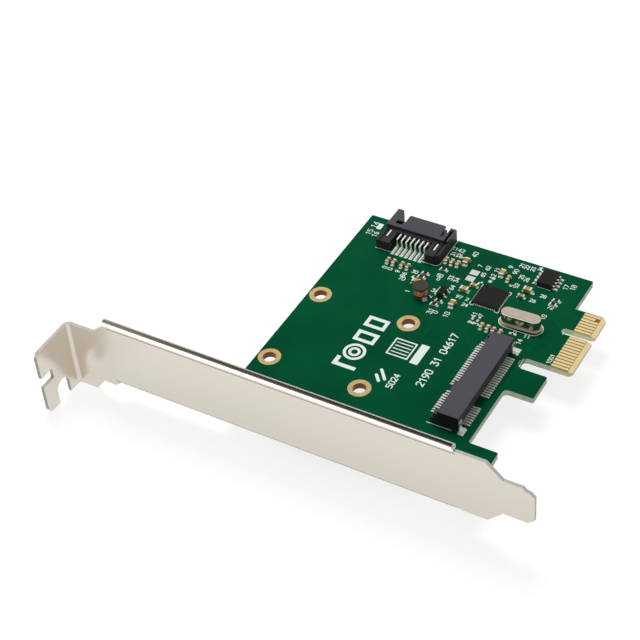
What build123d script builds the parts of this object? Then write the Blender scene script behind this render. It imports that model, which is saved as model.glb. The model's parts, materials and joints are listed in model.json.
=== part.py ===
"""Drive adapter card: circuit board, card socket, data port, chips and full-height bracket.

Millimetres. X runs toward the slot the card plugs into, Y away from the bracket, Z up from the
component side. The origin is at the centre of the contact tab's key notch, on the leading edge
and at half the board's thickness.
"""
from build123d import *
import math
import os

# Circuit board
board_thickness = 1.57
board_height = 68.90            # leading edge to the edge above the bracket's tab end
board_far = 19.0                # key notch centre to the edge that carries the data port
bracket_face = 57.15            # key notch centre to the inner face of the bracket
board_gap = 0.65                # between the bracket's inner face and the board
corner_radius = 0.4
contact_pitch = 1.0
contact_width = 0.70
key_to_contact = 1.5            # key notch centre to the contact beside it
contacts_near = 11
contacts_far = 7
contact_margin = 0.65           # last contact's centre to the tab's side
contact_start = 5.4             # from the leading edge back to the covered board
contact_end = 1.2
short_contact_end = 2.3
film_thickness = 0.05           # contacts, rings and solder pads
key_width = 1.90
key_depth = 8.0
bevel_length = 1.1
bevel_depth = 0.42
shoulder_back = 8.1
side_slot_width = 3.6
side_slot_back = 12.5
hook_tab_back = 4.5
hook_tab_width = 7.7
recess_back = 11.7
recess_width = 18.45
recess_radius = 1.2
toe_back = 4.4

# Four plated holes for the drive module's screws
ring_hole_radius = 1.6
ring_wall = 0.15
ring_outer_radius = 2.78
module_hole_span = 24.2         # across the module
module_hole_step = 24.15        # full-size pair to half-size pair
full_size_hole_inset = 3.15     # board's left edge to the full-size pair
module_axis_y = -25.42

# Bracket, folded from one sheet
sheet = 0.86
blade_width = 18.42
blade_drop = 2.86               # below the component side
under_bend_radius = 0.30        # inner radii of the three bends
lip_bend_radius = 0.50
tab_bend_radius = 1.00
bracket_length = 120.02
tongue_reach = 11.6             # past the leading edge
tongue_width = 10.19
tongue_lift = 3.75              # lower edge of the tongue above the blade's lower edge
tab_depth = 12.2                # from the outer face
tab_width = 18.95
tab_drop = 7.65                 # below the component side
tab_corner_radius = 1.8
tab_neck = 6.0
lip_depth = 1.6
lip_inset = 11.2                # from the tab's outer face
lip_end = 7.2                   # back from the leading edge
lip_edge_drop = 0.75            # blade edge beside the lip, below the lip's top
under_lip_drop = 3.45           # below the component side
under_lip_depth = 2.6
under_lip_inset = 13.8
under_lip_end = 5.3
screw_notch_width = 4.42
screw_notch_offset = 5.75
screw_notch_height = 5.7
side_notch_width = 2.9
side_notch_depth = 4.0
side_notch_height = 9.95
ear_width = 8.0
ear_hole_offset = 5.08          # from the inner face
ear_from_left = 8.5             # from the board's left edge
ear_spacing = 46.0
ear_collar_radius = 2.15

# Screws that hold the board to the ears
screw_shank_radius = 1.45
screw_clearance = 0.05
board_screw_hole_radius = 1.65
screw_head_radius = 2.85
screw_head_height = 2.0
screw_recess_depth = 1.2
screw_recess_width = 0.75
screw_recess_length = 3.4
screw_end = 0.4                 # shank below the ear

# Data port
port_from_left = 15.5           # board's left edge to the port's centre
port_width = 17.1
port_height = 3.3
port_near = 8.3
port_bar_near = 14.0
port_bar_far = 16.4
port_block_height = 2.5
port_block_width = 3.65
port_hood_width = 9.9
port_hood_far = 19.3
port_hood_thickness = 0.75
port_arm_width = 1.6
port_long_arm = 20.5
port_short_arm = 19.1
port_gusset = 1.9
port_pocket_depth = 1.3
port_pocket_length = 1.2
port_arm_slot_width = 0.65
port_arm_slot_near = 13.6
port_arm_slot_far = 18.3
port_blade_thickness = 1.2
port_blade_far = 19.9
port_blade_base = 0.35
port_key_height = 1.2
port_notch_clearance = 0.1
port_rear_wall = 1.1
port_groove_inset = 0.75
port_groove_width = 0.3
port_groove_depth = 0.6
port_corner_radius = 1.9
port_pins = 7
port_pitch = 1.27
port_pin_width = 0.40
port_pin_thickness = 0.25
port_root_height = 2.35
port_knee_y = 10.5
port_foot_near = 8.3
port_pad_near = 7.4
port_strip_width = 0.45
port_strip_inset = 1.75
port_strip_near = 10.7
port_strip_length = 2.5
port_strip_margin = 0.3
port_strip_drop = 0.08
port_strip_height = 0.6

# Card socket
socket_length = 29.0
socket_height = 4.0
socket_rear = -15.1
socket_front = -22.2
socket_roof_front = -20.4
socket_roof_thickness = 1.0
socket_lip_height = 1.75
socket_slot_height = 1.15
socket_slot_back = -16.4
socket_end_wall = 1.1
socket_key_width = 1.3
socket_key_y = -28.95
socket_pitch = 0.8
socket_near_pins = 8
socket_far_pins = 18
socket_near_first = -36.8
socket_far_first = -27.1
socket_row_shift = 0.4
socket_pin_width = 0.32
socket_pin_thickness = 0.16
socket_front_toe = -23.4
socket_rear_toe = -13.75
socket_rear_riser = 1.3
hold_down_width = 1.4
hold_down_height = 2.7
hold_down_thickness = 0.3

# Controller chip
controller_centre = (-27.86, 2.95)
controller_size = 6.7
controller_height = 0.85
controller_pins_per_side = 12
controller_pitch = 0.5
controller_pin_width = 0.26
controller_pin_reach = 0.42
controller_pin_height = 0.16

# Memory chip
flash_centre = (-17.9, 14.3)
flash_width = 3.9
flash_length = 4.9
flash_height = 1.5
flash_lead_span = 6.2
flash_pitch = 1.27
flash_leads_per_side = 4
flash_lead_width = 0.42
flash_lead_thickness = 0.2
chip_standoff = 0.15

# Regulator
regulator_centre = (-39.2, -0.3)
regulator_width = 1.6
regulator_length = 2.9
regulator_height = 1.1
regulator_lead_span = 2.9
regulator_pitch = 0.95
regulator_lead_width = 0.4

# Timing crystal
crystal_centre = (-17.36, -2.4)
crystal_turn = 2.0
crystal_can_length = 9.95
crystal_can_width = 3.2
crystal_height = 3.35
crystal_rim_length = 10.6
crystal_rim_width = 4.0
crystal_rim_height = 0.5
crystal_crown_radius = 0.35
crystal_lead_spacing = 4.88
crystal_lead_radius = 0.22
crystal_lead_clearance = 0.08
crystal_lead_reach = 1.0
solder_cone_radius = 0.75
solder_cone_height = 0.55

# Power inductor
inductor_centre = (-43.63, -2.88)
inductor_radius = 1.95
inductor_height = 3.0
inductor_flange = 0.6
inductor_core_radius = 0.8
inductor_winding_radius = 1.7
inductor_winding_clearance = 0.03
inductor_terminal_width = 0.5
inductor_terminal_length = 1.2
inductor_terminal_gap = 0.05
inductor_terminal_turn = -40

# Chip capacitors and resistors: length, width, height, end cap length
small_capacitor = (1.6, 0.8, 0.8, 0.3)
large_capacitor = (2.0, 1.25, 1.0, 0.4)
chip_resistor = (1.6, 0.8, 0.45, 0.3)
pad_overhang = 0.35

# Centres, with the turn from the X axis in degrees
small_capacitor_places = [
    (-56.6, 4.5, 90), (-55.0, 4.5, 90), (-52.7, 4.5, 90), (-51.1, 4.5, 90),
    (-43.6, 10.7, 90), (-42.0, 10.6, 90), (-40.4, 10.6, 90), (-26.85, 10.9, 90),
    (-25.4, -7.1, 90), (-23.75, -7.2, 90), (-22.2, -7.3, 90), (-20.5, -7.3, 90),
    (-33.3, 5.1, 0), (-21.4, 6.4, 0),
]
large_capacitor_places = [
    (-38.85, 12.2, 90), (-29.0, 12.0, 90), (-35.1, -3.1, 90),
    (-34.8, 2.8, 0), (-20.9, 9.1, 0), (-46.6, 0.3, 0),
]
chip_resistor_places = [
    (-46.1, 4.2, 0), (-46.4, 2.6, 0), (-42.7, 7.4, 0),
    (-38.6, -3.4, 0), (-39.1, -4.9, 0), (-13.2, 8.6, 0), (-13.4, 7.1, 0),
]
# Pads with nothing fitted: centre, size along X and Y
bare_pads = [
    (-35.4, 9.8, 2.2, 1.8), (-35.4, 7.4, 2.2, 1.8), (-30.3, 9.8, 0.9, 0.8), (-30.6, 8.5, 0.9, 0.8),
    (-28.6, -5.3, 0.6, 0.7), (-28.5, -6.6, 0.6, 0.7), (-27.2, -4.2, 0.6, 0.7), (-27.2, -5.4, 0.6, 0.7),
    (-18.4, -6.0, 0.7, 0.6), (-17.2, -6.0, 0.7, 0.6),
]

# Values worked out from those above
top = board_thickness / 2
bottom = -board_thickness / 2
pad_top = top + film_thickness
contact_near = -(key_to_contact + (contacts_near - 1) * contact_pitch)
contact_far = key_to_contact + (contacts_far - 1) * contact_pitch
tab_near_side = contact_near - contact_margin
tab_far_side = contact_far + contact_margin
board_near = -bracket_face + board_gap
hook_tab_far = tab_near_side - side_slot_width
hook_tab_near = hook_tab_far - hook_tab_width
recess_near = hook_tab_near - recess_width
blade_outer = -bracket_face - sheet
ear_positions = (ear_from_left - board_height, ear_from_left - board_height + ear_spacing)
blade_low = top - blade_drop
blade_high = blade_low + blade_width
ear_low = top - under_lip_drop
ear_high = ear_low + sheet
tab_top_face = tongue_reach - bracket_length
tab_low = top - tab_drop
tab_high = tab_low + tab_width
ear_hole_y = -bracket_face + ear_hole_offset
port_centre = port_from_left - board_height
port_left = port_centre - port_width / 2
port_right = port_centre + port_width / 2
port_first_pin = port_centre - (port_pins - 1) * port_pitch / 2
port_hood_left = port_centre + 0.45 - port_hood_width / 2
port_hood_right = port_hood_left + port_hood_width
port_rear = port_bar_near - port_rear_wall
port_lead_top = top + port_root_height
port_contact_top = top + port_blade_base + port_blade_thickness
port_contact_far = port_blade_far - 0.5
port_cutout_depth = board_far - port_bar_far + port_notch_clearance
socket_near = module_axis_y - socket_length / 2
socket_far = module_axis_y + socket_length / 2
socket_rows = ([socket_near_first + i * socket_pitch for i in range(socket_near_pins)]
               + [socket_far_first + i * socket_pitch for i in range(socket_far_pins)])
module_holes = [(full_size_hole_inset - board_height + i * module_hole_step,
                 module_axis_y + s * module_hole_span / 2)
                for i in (0, 1) for s in (-1, 1)]


def block(x0, x1, y0, y1, z0, z1):
    """A box between two corners."""
    return Pos((x0 + x1) / 2, (y0 + y1) / 2, (z0 + z1) / 2) * Box(abs(x1 - x0), abs(y1 - y0), abs(z1 - z0))


def rod(x, y, radius, z0, z1):
    """An upright cylinder."""
    return Pos(x, y, (z0 + z1) / 2) * Cylinder(radius, z1 - z0)


def slab(points, z0, z1, rounds=()):
    """A flat plate from its outline; rounds lists corner numbers with their radii."""
    face = make_face(Polyline(*points, close=True))
    for number, radius in rounds:
        x, y = points[number]
        corner = [v for v in face.vertices() if abs(v.X - x) < 1e-4 and abs(v.Y - y) < 1e-4]
        face = fillet(corner, radius)
    return Pos(0, 0, z0) * extrude(face, z1 - z0, dir=(0, 0, 1))


def along_y(points, y0, y1):
    """A bar along Y from its section in X and Z."""
    face = make_face(Polyline(*[(x, y0, z) for x, z in points], close=True))
    return extrude(face, y1 - y0, dir=(0, 1, 0))


def solids_of(shape):
    return list(shape.solids())


def save(name, pieces):
    """Write one node: a single solid or a group of separate solids."""
    pieces = [s for p in pieces for s in solids_of(p)]
    export_step(pieces[0] if len(pieces) == 1 else Compound(children=pieces), "parts/" + name + ".step")


def circuit_board():
    points = [
        (-board_height, board_far), (port_left + 1.7, board_far), (port_left + 1.7, board_far - port_cutout_depth),
        (port_right - 1.7, board_far - port_cutout_depth), (port_right - 1.7, board_far),
        (-shoulder_back, board_far), (-shoulder_back, tab_far_side), (0, tab_far_side),
        (0, tab_near_side), (-side_slot_back, tab_near_side), (-side_slot_back, hook_tab_far),
        (-hook_tab_back, hook_tab_far), (-hook_tab_back, hook_tab_near), (-recess_back, hook_tab_near),
        (-recess_back, recess_near), (-toe_back, recess_near), (-toe_back, board_near),
        (-board_height, board_near)]
    rounds = [(0, corner_radius), (5, corner_radius), (7, 0.9), (8, 0.9),
              (9, side_slot_width / 2 - 0.01), (10, side_slot_width / 2 - 0.01), (11, corner_radius),
              (12, corner_radius), (13, recess_radius), (14, 0.5), (15, corner_radius),
              (16, corner_radius), (17, corner_radius)]
    board = slab(points, bottom, top, rounds)
    key_round = key_width / 2
    board -= block(-key_depth + key_round, 1, -key_round, key_round, bottom, top)
    board -= rod(-key_depth + key_round, 0, key_round, bottom, top)
    for side in (1, -1):
        wedge = [(-bevel_length, side * top), (0.2, side * top),
                 (0.2, side * (top - bevel_depth * (bevel_length + 0.2) / bevel_length))]
        board -= along_y(wedge, tab_near_side - 1, tab_far_side + 1)
    for x, y in module_holes:
        board -= rod(x, y, ring_hole_radius + ring_wall, bottom, top)
    for x in ear_positions:
        board -= rod(x, ear_hole_y, board_screw_hole_radius, bottom, top)
    for x, y in crystal_lead_places():
        board -= rod(x, y, crystal_lead_radius + crystal_lead_clearance, bottom, top)
    return board


def standoff_rings():
    rings = []
    for x, y in module_holes:
        ring = rod(x, y, ring_hole_radius + ring_wall, bottom - film_thickness, top + film_thickness)
        ring += rod(x, y, ring_outer_radius, top, top + film_thickness)
        ring += rod(x, y, ring_outer_radius, bottom - film_thickness, bottom)
        rings.append(ring - rod(x, y, ring_hole_radius, bottom - 1, top + 1))
    return rings


def edge_contacts(side):
    """One row of contacts, on the component side for 1 and the back for -1."""
    z0, z1 = sorted((side * top, side * (top + film_thickness)))
    rows = [contact_near + i * contact_pitch for i in range(contacts_near)]
    rows += [key_to_contact + i * contact_pitch for i in range(contacts_far)]
    short = rows[-2] if side == 1 else rows[0]
    return [block(-contact_start, -(short_contact_end if y == short else contact_end),
                  y - contact_width / 2, y + contact_width / 2, z0, z1) for y in rows]


def bent_strip(start, turn, radius, reach):
    """Section of a quarter bend: starts on the blade's outer face and ends at reach.

    start is a point on the plane of the section, turn gives the signs of the two directions, and
    reach is how far the flange goes from the outer face. The first direction runs along the
    flange and the second along the blade.
    """
    (a, b), (da, db) = start, turn
    r_out, r_in = radius + sheet, radius
    half = math.sqrt(0.5)
    to = lambda u, v: (a + da * u, b + db * v)
    with BuildSketch() as section:
        with BuildLine():
            Line(to(0, 0), to(sheet, 0))
            ThreePointArc(to(sheet, 0), to(r_out - r_in * half, r_in * half), to(r_out, r_in))
            Line(to(r_out, r_in), to(reach, r_in))
            Line(to(reach, r_in), to(reach, r_out))
            Line(to(reach, r_out), to(r_out, r_out))
            ThreePointArc(to(r_out, r_out), to(r_out - r_out * half, r_out * half), to(0, 0))
        make_face()
    return section.sketch


def flange_bar(x0, x1, level, reach, upward, radius):
    """A flange along X that turns inward from the blade; level is its outer surface in Z."""
    start = (blade_outer, level - upward * (radius + sheet))
    section = Plane.YZ * bent_strip(start, (1, upward), radius, reach)
    return Pos(x0, 0, 0) * extrude(section, x1 - x0, dir=(1, 0, 0))


def mounting_bracket():
    tongue_low = blade_low + tongue_lift
    tongue_high = tongue_low + tongue_width
    lip_fold = blade_high - lip_bend_radius - sheet
    edge = blade_high - lip_edge_drop
    under_fold = ear_low + under_bend_radius + sheet
    lip_start = tab_top_face + lip_inset
    under_start = tab_top_face + under_lip_inset
    tab_inner = tab_top_face + tab_bend_radius + sheet
    neck_end = tab_top_face + sheet + tab_neck
    neck_low = blade_low - 1.35
    outline = [
        (tab_inner, tab_low), (neck_end - 0.85, tab_low), (neck_end + 1.9, neck_low),
        (under_start - 1.6, neck_low), (under_start - 0.1, blade_low),
        (under_start, under_fold), (-under_lip_end, under_fold), (-under_lip_end, blade_low),
        (0.7, blade_low), (4.4, tongue_low), (tongue_reach - 1.6, tongue_low),
        (tongue_reach, tongue_low + 1.3), (tongue_reach, tongue_high - 1.9),
        (tongue_reach - 1.2, tongue_high - 0.9), (tongue_reach - 2.0, tongue_high - 0.8),
        (tongue_reach - 2.8, tongue_high), (4.3, tongue_high), (0.4, edge),
        (0.8 - lip_end, edge), (-lip_end, edge - 0.3), (-lip_end, lip_fold), (lip_start, lip_fold),
        (lip_start - 3.3, tab_high + 0.2), (lip_start - 4.2, tab_high), (tab_inner, tab_high)]
    face = make_face(Polyline(*[(x, blade_outer, z) for x, z in outline], close=True))
    bracket = extrude(face, sheet, dir=(0, 1, 0))
    # Lip along the component side, and the flange under the board that carries the two ears
    lip = flange_bar(lip_start, -lip_end, blade_high, lip_depth, 1, lip_bend_radius)
    under = flange_bar(under_start, -under_lip_end, ear_low, under_lip_depth, -1, under_bend_radius)
    bracket += round_upright(lip, blade_outer + lip_depth, 0.2)
    bracket += round_upright(under, blade_outer + under_lip_depth, 0.7)
    for x in ear_positions:
        ear = block(x - ear_width / 2, x + ear_width / 2, blade_outer + under_lip_depth - 0.2, ear_hole_y,
                    ear_low, ear_high)
        ear += rod(x, ear_hole_y, ear_width / 2, ear_low, ear_high)
        # Drawn collar that the thread is cut in; the board rests on it
        ear += rod(x, ear_hole_y, ear_collar_radius, ear_high, bottom)
        bracket = bracket + ear - rod(x, ear_hole_y, screw_shank_radius + screw_clearance, ear_low, bottom)
    return bracket + mounting_tab()


def round_upright(shape, y, radius):
    """Round the upright free corners of a flange at one Y."""
    edges = [e for e in shape.edges().filter_by(Axis.Z) if abs(e.center().Y - y) < 1e-4]
    return fillet(edges, radius)


def mounting_tab():
    """The tab that the chassis screw holds, bent outward from the blade."""
    x_top = tab_top_face
    y_end = blade_outer - tab_depth
    start = (x_top + tab_bend_radius + sheet, blade_outer + sheet)
    # Along X first: the flange runs in -Y from the blade's inner face
    section = Rot(0, 0, -90) * bent_strip((-start[1], start[0]), (1, -1), tab_bend_radius, tab_depth + sheet)
    tab = Pos(0, 0, tab_low) * extrude(section, tab_width, dir=(0, 0, 1))
    free = [e for e in tab.edges().filter_by(Axis.X) if abs(e.center().Y - y_end) < 1e-4]
    tab = fillet(free, tab_corner_radius)
    notch_y = blade_outer - screw_notch_offset
    notch_r = screw_notch_width / 2
    notch_z = tab_low + screw_notch_height - notch_r
    x0, x1 = x_top - 1, x_top + sheet + 0.1
    tab -= block(x0, x1, notch_y - notch_r, notch_y + notch_r, tab_low - 1, notch_z)
    tab -= Pos((x0 + x1) / 2, notch_y, notch_z) * Rot(0, 90, 0) * Cylinder(notch_r, x1 - x0)
    side_z = tab_low + side_notch_height
    tab -= block(x0, x1, y_end - 1, y_end + side_notch_depth, side_z - side_notch_width / 2,
                 side_z + side_notch_width / 2)
    return tab


def bracket_screws():
    screws = []
    for x in ear_positions:
        head = rod(x, ear_hole_y, screw_head_radius, top, top + screw_head_height)
        head = fillet(head.edges().filter_by(GeomType.CIRCLE).sort_by(Axis.Z)[-1], 0.9)
        recess = Box(screw_recess_length, screw_recess_width, screw_recess_depth)
        recess += Rot(0, 0, 90) * recess
        head -= Pos(x, ear_hole_y, top + screw_head_height - screw_recess_depth / 2) * recess
        shank = rod(x, ear_hole_y, screw_shank_radius, ear_low - screw_end, top)
        screws.append(head + chamfer(shank.edges().sort_by(Axis.Z)[0], 0.3))
    return screws


def data_port_housing():
    z0, z1 = top, top + port_height
    block_top = top + port_block_height
    hood_low = z1 - port_hood_thickness
    bar = block(port_left, port_right, port_bar_near, port_bar_far, z0, z1)
    rear = block(port_left, port_right, port_rear, port_bar_near, z0, block_top)
    left = block(port_left, port_left + port_block_width, port_near, port_bar_near, z0, block_top)
    right = block(port_right - port_block_width, port_right, port_near, port_bar_near, z0, block_top)
    corner = [e for e in right.edges().filter_by(Axis.Z)
              if abs(e.center().X - port_right) < 1e-4 and abs(e.center().Y - port_near) < 1e-4]
    right = fillet(corner, port_corner_radius)
    shell = bar + rear + left + right
    # Slots that the hold-down strips stand in
    wide = port_strip_width / 2 + port_strip_margin
    for x in hold_down_slots():
        shell -= block(x - wide, x + wide, port_strip_near - port_strip_margin,
                       port_strip_near + port_strip_length + port_strip_margin, block_top - port_strip_height, block_top)
    for x in (port_left + port_groove_inset, port_right - port_groove_inset - port_groove_width):
        shell -= block(x, x + port_groove_width, port_near - 1, port_bar_near, block_top - port_groove_depth,
                       block_top)
    # Arms beside the plug: a long one with a gusset, and a short one with a slot in its top
    arm_inner = port_left + port_arm_width
    shell += block(port_left, arm_inner, port_bar_far, port_long_arm, z0, z1)
    shell += slab([(arm_inner, port_bar_far), (port_hood_left, port_bar_far), (arm_inner + 0.45, port_bar_far + 1.4),
                   (arm_inner, port_bar_far + port_gusset)], z0, z1)
    shell += block(port_right - port_arm_width, port_right, port_bar_far, port_short_arm, z0, z1)
    slot_left = port_right - (port_arm_width + port_arm_slot_width) / 2
    shell -= block(slot_left, slot_left + port_arm_slot_width, port_arm_slot_near, port_arm_slot_far,
                   z1 - port_pocket_depth, z1)
    for x0, x1 in ((arm_inner + 0.3, port_hood_left - 0.3), (port_hood_right + 0.3, port_right - port_arm_width)):
        shell -= block(x0, x1, port_bar_far - port_pocket_length, port_bar_far, z1 - port_pocket_depth, z1)
    hood = block(port_hood_left, port_hood_right, port_bar_far, port_hood_far, hood_low, z1)
    blade_z = top + port_blade_base
    blade = block(port_hood_left, port_hood_right, port_bar_far, port_blade_far, blade_z, port_contact_top)
    blade += block(port_hood_left, port_hood_left + port_blade_thickness, port_bar_far, port_blade_far,
                   blade_z - port_key_height, blade_z)
    shell = shell + hood + blade
    # Passages for the contact leads
    for i in range(port_pins):
        x = port_first_pin + i * port_pitch
        shell -= Pos(x, 0, 0) * lead_in_housing()
    return shell


def lead_in_housing():
    """The part of a contact lead that the housing holds: along the blade, then up its rear wall."""
    w, t = port_pin_width / 2, port_pin_thickness
    lead = block(-w, w, port_rear, port_contact_far, port_contact_top - t, port_contact_top)
    return lead + block(-w, w, port_rear, port_rear + t, port_contact_top - t, port_lead_top)


def hold_down_slots():
    return (port_left + port_strip_inset, port_right - port_strip_inset - port_strip_width)


def data_port_pins():
    """Leads that run from the blade through the housing, then down to the board."""
    w, t = port_pin_width / 2, port_pin_thickness
    knee = port_knee_y
    lead = lead_in_housing()
    lead += block(-w, w, knee, port_rear + t, port_lead_top - t, port_lead_top)
    lead += block(-w, w, knee, knee + t, pad_top, port_lead_top)
    lead += block(-w, w, port_foot_near, knee + t, pad_top, pad_top + t)
    return [Pos(port_first_pin + i * port_pitch, 0, 0) * lead for i in range(port_pins)]


def data_port_hold_downs():
    high = top + port_block_height
    half = port_strip_width / 2
    return [block(x - half, x + half, port_strip_near, port_strip_near + port_strip_length,
                  high - port_strip_height, high - port_strip_drop) for x in hold_down_slots()]


def socket_housing():
    z0 = top
    roof_low = top + socket_height - socket_roof_thickness
    lip = top + socket_lip_height
    slot_high = lip + socket_slot_height
    section = [
        (socket_front, z0), (socket_rear, z0), (socket_rear, top + socket_height),
        (socket_roof_front, top + socket_height), (socket_roof_front, roof_low),
        (socket_roof_front + 0.4, slot_high), (socket_slot_back, slot_high), (socket_slot_back, lip),
        (socket_front + 0.3, lip), (socket_front, lip - 0.4)]
    shell = along_y(section, socket_near, socket_far)
    for y0, y1 in ((socket_near, socket_near + socket_end_wall), (socket_far - socket_end_wall, socket_far),
                   (socket_key_y - socket_key_width / 2, socket_key_y + socket_key_width / 2)):
        shell += block(socket_roof_front + 0.4, socket_slot_back, y0, y1, lip - 0.2, roof_low)
    for y0, y1 in ((socket_near, socket_near + socket_end_wall), (socket_far - socket_end_wall, socket_far)):
        shell += block(socket_front + 0.8, socket_roof_front + 0.5, y0, y1, lip - 0.2, roof_low + 0.2)
    # Open channel along the rear foot, where the leads come out
    shell -= block(socket_rear - 0.7, socket_rear + 1, socket_near + hold_down_width + 0.2,
                   socket_far - hold_down_width - 0.2, z0, z0 + socket_rear_riser)
    return shell


def socket_contacts_front():
    """Leads from the slot's lower lip, over its front edge and down to the board."""
    lip = top + socket_lip_height
    t = socket_pin_thickness
    w = socket_pin_width / 2
    pins = []
    for y in socket_rows:
        if abs(y - socket_key_y) < socket_key_width:
            continue
        pin = block(socket_front - t, socket_front, y - w, y + w, pad_top, lip + t)
        pin += block(socket_front - t, socket_roof_front - 0.3, y - w, y + w, lip, lip + t)
        pin += block(socket_front_toe, socket_front, y - w, y + w, pad_top, pad_top + t)
        pins.append(pin)
    return pins


def socket_contacts_rear():
    """Leads that leave the rear channel and lie on the board."""
    t = socket_pin_thickness
    w = socket_pin_width / 2
    wall = socket_rear - 0.7
    pins = []
    for y in socket_rows:
        y -= socket_row_shift
        pin = block(wall, wall + t, y - w, y + w, pad_top, top + socket_rear_riser)
        pin += block(wall, socket_rear_toe, y - w, y + w, pad_top, pad_top + t)
        pins.append(pin)
    return pins


def socket_hold_downs():
    """Tinned straps soldered at both rear corners."""
    t = hold_down_thickness
    straps = []
    for y0 in (socket_near, socket_far - hold_down_width):
        strap = block(socket_rear, socket_rear + t, y0, y0 + hold_down_width, pad_top, top + hold_down_height)
        strap += block(socket_rear, socket_rear + 1.2, y0, y0 + hold_down_width, pad_top, pad_top + t)
        straps.append(strap)
    return straps


def controller():
    x, y = controller_centre
    half = controller_size / 2
    body = block(x - half, x + half, y - half, y + half, pad_top, pad_top + controller_height)
    body = chamfer(body.faces().sort_by(Axis.Z)[-1].edges(), 0.08)
    pins = []
    first = -(controller_pins_per_side - 1) * controller_pitch / 2
    for turn in range(4):
        for i in range(controller_pins_per_side):
            along = first + i * controller_pitch
            pin = block(half, half + controller_pin_reach, along - controller_pin_width / 2,
                        along + controller_pin_width / 2, top, top + controller_pin_height)
            pins.append(Pos(x, y, 0) * Rot(0, 0, 90 * turn) * pin)
    return body, pins


def gull_lead(half_body, half_span, level, width, thickness):
    """A lead that leaves a chip's side, steps down and lies on its pad, pointing along +X."""
    mid = (half_body + half_span) / 2
    w = width / 2
    lead = block(half_body, mid, -w, w, level, level + thickness)
    lead += block(mid - thickness, mid, -w, w, pad_top, level + thickness)
    lead += block(mid - thickness, half_span, -w, w, pad_top, pad_top + thickness)
    return lead


def leaded_chip(centre, width, length, height, span, lead_width, thickness, left_rows, right_rows):
    """A moulded chip with gull-wing leads on its two X sides."""
    x, y = centre
    low = pad_top + chip_standoff
    level = low + 0.4 * height
    body = block(x - width / 2, x + width / 2, y - length / 2, y + length / 2, low, low + height)
    body = chamfer(body.faces().sort_by(Axis.Z)[-1].edges(), 0.15)
    lead = gull_lead(width / 2, span / 2, level, lead_width, thickness)
    leads = [Pos(x, y + row, 0) * lead for row in right_rows]
    leads += [Pos(x, y + row, 0) * Rot(0, 0, 180) * lead for row in left_rows]
    return body, leads


def crystal_lead_places():
    turn = math.radians(crystal_turn)
    x, y = crystal_centre
    half = crystal_lead_spacing / 2
    return [(x + s * half * math.cos(turn), y + s * half * math.sin(turn)) for s in (-1, 1)]


def crystal():
    seat = Pos(crystal_centre[0], crystal_centre[1], 0) * Rot(0, 0, crystal_turn)
    rim_top = top + crystal_rim_height
    rim = extrude(SlotOverall(crystal_rim_length, crystal_rim_width), crystal_rim_height)
    can = extrude(SlotOverall(crystal_can_length, crystal_can_width), crystal_height - crystal_rim_height)
    can = fillet(can.faces().sort_by(Axis.Z)[-1].edges(), crystal_crown_radius)
    leads = []
    for x, y in crystal_lead_places():
        lead = rod(x, y, crystal_lead_radius, bottom - crystal_lead_reach, top)
        lead += Pos(x, y, bottom - solder_cone_height / 2) * Rot(180, 0, 0) * Cone(
            solder_cone_radius, crystal_lead_radius, solder_cone_height)
        leads.append(lead)
    return seat * Pos(0, 0, rim_top) * can, seat * Pos(0, 0, top) * rim, leads


def inductor():
    x, y = inductor_centre
    low = pad_top
    high = pad_top + inductor_height
    core = rod(x, y, inductor_radius, low, low + inductor_flange)
    core += rod(x, y, inductor_core_radius, low, high)
    core += rod(x, y, inductor_radius, high - inductor_flange, high)
    gap = inductor_winding_clearance
    winding = rod(x, y, inductor_winding_radius, low + inductor_flange, high - inductor_flange)
    winding -= rod(x, y, inductor_core_radius + gap, low, high)
    half = inductor_terminal_length / 2
    inner = inductor_radius + inductor_terminal_gap
    terminal = block(inner, inner + inductor_terminal_width, -half, half, pad_top, pad_top + inductor_flange)
    terminals = [Pos(x, y, 0) * Rot(0, 0, inductor_terminal_turn + turn) * terminal for turn in (0, 180)]
    return core, winding, terminals


def chip_passives(size, places):
    """Bodies and end caps of a group of like chip parts."""
    length, width, height, cap = size
    bodies, ends = [], []
    for x, y, turn in places:
        seat = Pos(x, y, pad_top) * Rot(0, 0, turn)
        inner = length / 2 - cap
        bodies.append(seat * block(-inner, inner, -width / 2, width / 2, 0, height))
        for side in (-1, 1):
            x0, x1 = sorted((side * inner, side * length / 2))
            ends.append(seat * block(x0, x1, -width / 2 - 0.02, width / 2 + 0.02, 0, height + 0.02))
    return bodies, ends


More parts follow.
